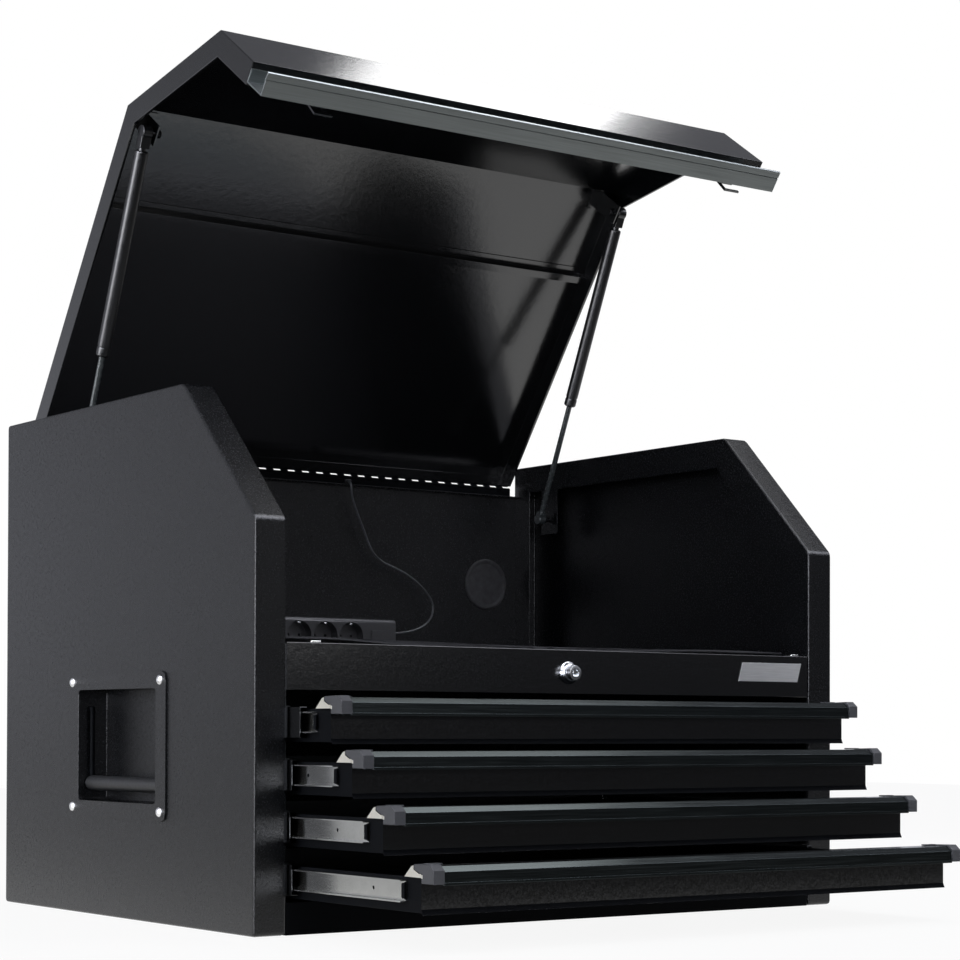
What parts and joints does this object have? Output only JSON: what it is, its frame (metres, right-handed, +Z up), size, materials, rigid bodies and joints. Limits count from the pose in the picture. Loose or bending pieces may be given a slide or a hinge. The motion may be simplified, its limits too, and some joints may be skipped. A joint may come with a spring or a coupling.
{
  "type": "top tool chest",
  "caption": "Steel top chest: shallow drawers with full-width pulls under an open hutch, and a hinged lid with a sloped front held up by gas struts.",
  "frame": {"origin": "middle of the cabinet's underside, half its width and half its side panels' depth", "axes": "+Z up, the drawers open towards -Y, +X to the right of someone who faces the drawers"},
  "size_m": [0.9182, 0.9842, 1.0893],
  "materials": {
    "textured_coat": "black powder coat with a fine grain",
    "gloss_coat": "black powder coat, semi-gloss",
    "grip_coat": "black, semi-gloss",
    "hinge_coat": "black, satin",
    "pull_extrusion": "black satin extrusion with bright worn edges",
    "cap_plastic": "dark grey, finely pitted",
    "slide_zinc": "bright zinc plate",
    "lock_chrome": "polished",
    "strip_plastic": "black, satin",
    "mat_rubber": "black, matt",
    "lead_rubber": "black, satin",
    "grommet_rubber": "black, matt",
    "strut_coat": "black satin",
    "strut_rod": "dark nitrided steel"
  },
  "bodies": {
    "cabinet": {"side_panel_left": "textured_coat", "side_panel_right": "textured_coat", "side_liner_left": "textured_coat", "side_liner_right": "textured_coat", "back_panel": "textured_coat", "base_pan": "textured_coat", "hutch_floor": "textured_coat", "hutch_mat": "mat_rubber", "lock_panel": "gloss_coat", "lock_housing": "lock_chrome", "handle_plate_left": "textured_coat", "handle_plate_right": "textured_coat", "power_strip": "strip_plastic", "lamp_lead": "lead_rubber", "cable_grommet": "grommet_rubber", "hinge_lower_leaf": "hinge_coat"},
    "lid": {"lid_shell": "gloss_coat", "lid_stiffener": "gloss_coat", "lid_pull": "pull_extrusion", "hinge_upper_leaf": "hinge_coat"},
    "lock_barrel": {"lock_barrel": "lock_chrome"},
    "left_strut_cylinder": {"strut_cylinder_left": "strut_coat"},
    "left_strut_rod": {"strut_rod_left": "strut_rod"},
    "left_handle": {"handle_grip_left": "grip_coat"},
    "right_strut_cylinder": {"strut_cylinder_right": "strut_coat"},
    "right_strut_rod": {"strut_rod_right": "strut_rod"},
    "right_handle": {"handle_grip_right": "grip_coat"},
    "drawer_1": {"drawer_1_body": "gloss_coat", "drawer_1_pull": "pull_extrusion", "drawer_1_pull_cap_left": "cap_plastic", "drawer_1_pull_cap_right": "cap_plastic", "drawer_1_slide_inner_left": "slide_zinc", "drawer_1_slide_inner_right": "slide_zinc"},
    "drawer_1_middle": {"drawer_1_slide_middle_left": "slide_zinc", "drawer_1_slide_middle_right": "slide_zinc"},
    "drawer_2": {"drawer_2_body": "gloss_coat", "drawer_2_pull": "pull_extrusion", "drawer_2_pull_cap_left": "cap_plastic", "drawer_2_pull_cap_right": "cap_plastic", "drawer_2_slide_inner_left": "slide_zinc", "drawer_2_slide_inner_right": "slide_zinc"},
    "drawer_2_middle": {"drawer_2_slide_middle_left": "slide_zinc", "drawer_2_slide_middle_right": "slide_zinc"},
    "drawer_3": {"drawer_3_body": "gloss_coat", "drawer_3_pull": "pull_extrusion", "drawer_3_pull_cap_left": "cap_plastic", "drawer_3_pull_cap_right": "cap_plastic", "drawer_3_slide_inner_left": "slide_zinc", "drawer_3_slide_inner_right": "slide_zinc"},
    "drawer_3_middle": {"drawer_3_slide_middle_left": "slide_zinc", "drawer_3_slide_middle_right": "slide_zinc"},
    "drawer_4": {"drawer_4_body": "gloss_coat", "drawer_4_pull": "pull_extrusion", "drawer_4_pull_cap_left": "cap_plastic", "drawer_4_pull_cap_right": "cap_plastic", "drawer_4_slide_inner_left": "slide_zinc", "drawer_4_slide_inner_right": "slide_zinc"},
    "drawer_4_middle": {"drawer_4_slide_middle_left": "slide_zinc", "drawer_4_slide_middle_right": "slide_zinc"}
  },
  "joints": [
    {"name": "lid_hinge", "type": "hinge", "parent": "cabinet", "child": "lid", "pos_m": [0, 0.3362, 0.621], "axis": [1, 0, 0], "range_deg": [0, 54.4]},
    {"name": "left_strut_swing", "type": "hinge", "parent": "lid", "child": "left_strut_cylinder", "pos_m": [-0.397, 0.05027, 1.01179], "axis": [1, 0, 0], "range_deg": [0, 5]},
    {"name": "left_strut_slide", "type": "slide", "parent": "left_strut_cylinder", "child": "left_strut_rod", "axis": [0, -0.3993, 0.9168], "range_m": [0, 0.0905]},
    {"name": "right_strut_swing", "type": "hinge", "parent": "lid", "child": "right_strut_cylinder", "pos_m": [0.397, 0.05027, 1.01179], "axis": [1, 0, 0], "range_deg": [0, 5]},
    {"name": "right_strut_slide", "type": "slide", "parent": "right_strut_cylinder", "child": "right_strut_rod", "axis": [0, -0.3993, 0.9168], "range_m": [0, 0.0905]},
    {"name": "drawer_1_slide", "type": "slide", "parent": "cabinet", "child": "drawer_1", "axis": [0, -1, 0], "range_m": [-0.0769, 0.3231]},
    {"name": "drawer_1_middle_slide", "type": "slide", "parent": "cabinet", "child": "drawer_1_middle", "axis": [0, -1, 0], "range_m": [-0.0577, 0.2408]},
    {"name": "drawer_2_slide", "type": "slide", "parent": "cabinet", "child": "drawer_2", "axis": [0, -1, 0], "range_m": [-0.1214, 0.2786]},
    {"name": "drawer_2_middle_slide", "type": "slide", "parent": "cabinet", "child": "drawer_2_middle", "axis": [0, -1, 0], "range_m": [-0.04, 0.0911]},
    {"name": "drawer_3_slide", "type": "slide", "parent": "cabinet", "child": "drawer_3", "axis": [0, -1, 0], "range_m": [-0.184, 0.216]},
    {"name": "drawer_3_middle_slide", "type": "slide", "parent": "cabinet", "child": "drawer_3_middle", "axis": [0, -1, 0], "range_m": [-0.0357, 0.0418]},
    {"name": "drawer_4_slide", "type": "slide", "parent": "cabinet", "child": "drawer_4", "axis": [0, -1, 0], "range_m": [-0.2581, 0.1419]},
    {"name": "drawer_4_middle_slide", "type": "slide", "parent": "cabinet", "child": "drawer_4_middle", "axis": [0, -1, 0], "range_m": [-0.0404, 0.0224]},
    {"name": "lock_push", "type": "slide", "parent": "cabinet", "child": "lock_barrel", "axis": [0, 1, 0], "range_m": [0, 0.007]},
    {"name": "left_handle_swing", "type": "hinge", "parent": "cabinet", "child": "left_handle", "pos_m": [-0.441, 0.00425, 0.264], "axis": [0, 1, 0], "range_deg": [0, 90]},
    {"name": "right_handle_swing", "type": "hinge", "parent": "cabinet", "child": "right_handle", "pos_m": [0.441, 0.00425, 0.264], "axis": [0, -1, 0], "range_deg": [0, 90]}
  ],
  "couplings": [
    {"joint": "left_strut_swing", "follows": "lid_hinge", "ratio": 0.090799},
    {"joint": "left_strut_slide", "follows": "lid_hinge", "m_per_rad": 0.094897},
    {"joint": "right_strut_swing", "follows": "lid_hinge", "ratio": 0.090799},
    {"joint": "right_strut_slide", "follows": "lid_hinge", "m_per_rad": 0.094897},
    {"joint": "drawer_1_middle_slide", "follows": "drawer_1_slide", "ratio": 0.74382},
    {"joint": "drawer_2_middle_slide", "follows": "drawer_2_slide", "ratio": 0.32537},
    {"joint": "drawer_3_middle_slide", "follows": "drawer_3_slide", "ratio": 0.1913},
    {"joint": "drawer_4_middle_slide", "follows": "drawer_4_slide", "ratio": 0.15459}
  ]
}
